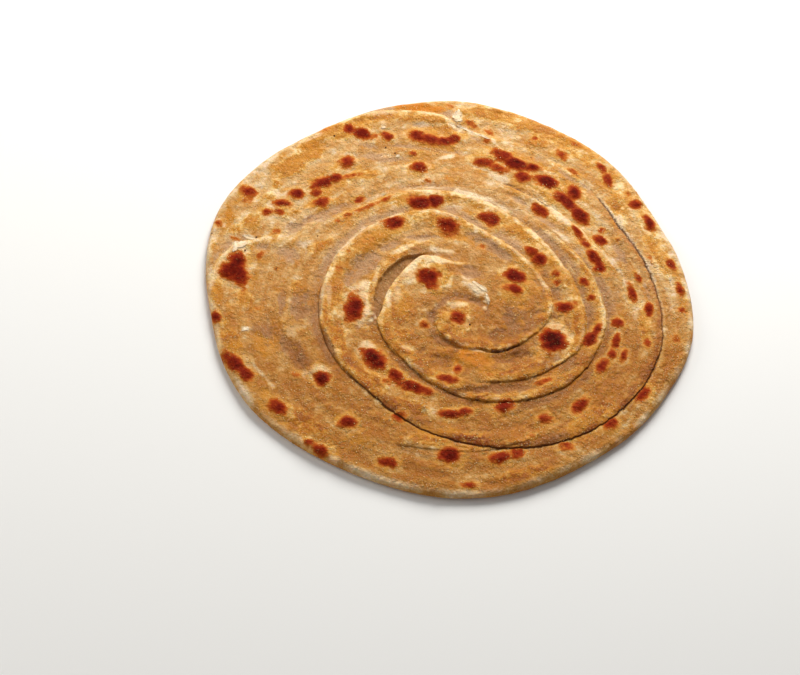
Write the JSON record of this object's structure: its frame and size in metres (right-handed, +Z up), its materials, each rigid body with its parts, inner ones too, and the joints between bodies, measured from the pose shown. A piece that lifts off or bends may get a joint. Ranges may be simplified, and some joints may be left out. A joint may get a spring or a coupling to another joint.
{
  "type": "layered paratha flatbread",
  "caption": "Round, coiled and layered pan-fried flatbread, one piece, lying flat with its toasted side up.",
  "frame": {"origin": "centre of the bread's outline at the surface it lies on", "axes": "+Z up out of the toasted top face, +X to the right and +Y away from a person looking at the shown side"},
  "size_m": [0.1622, 0.162, 0.0052],
  "materials": {
    "dough": "golden fried wheat dough, lightly oiled and grainy, with pale lips and dark red-brown char spots"
  },
  "bodies": {
    "root": {"paratha": "dough"}
  },
  "joints": []
}
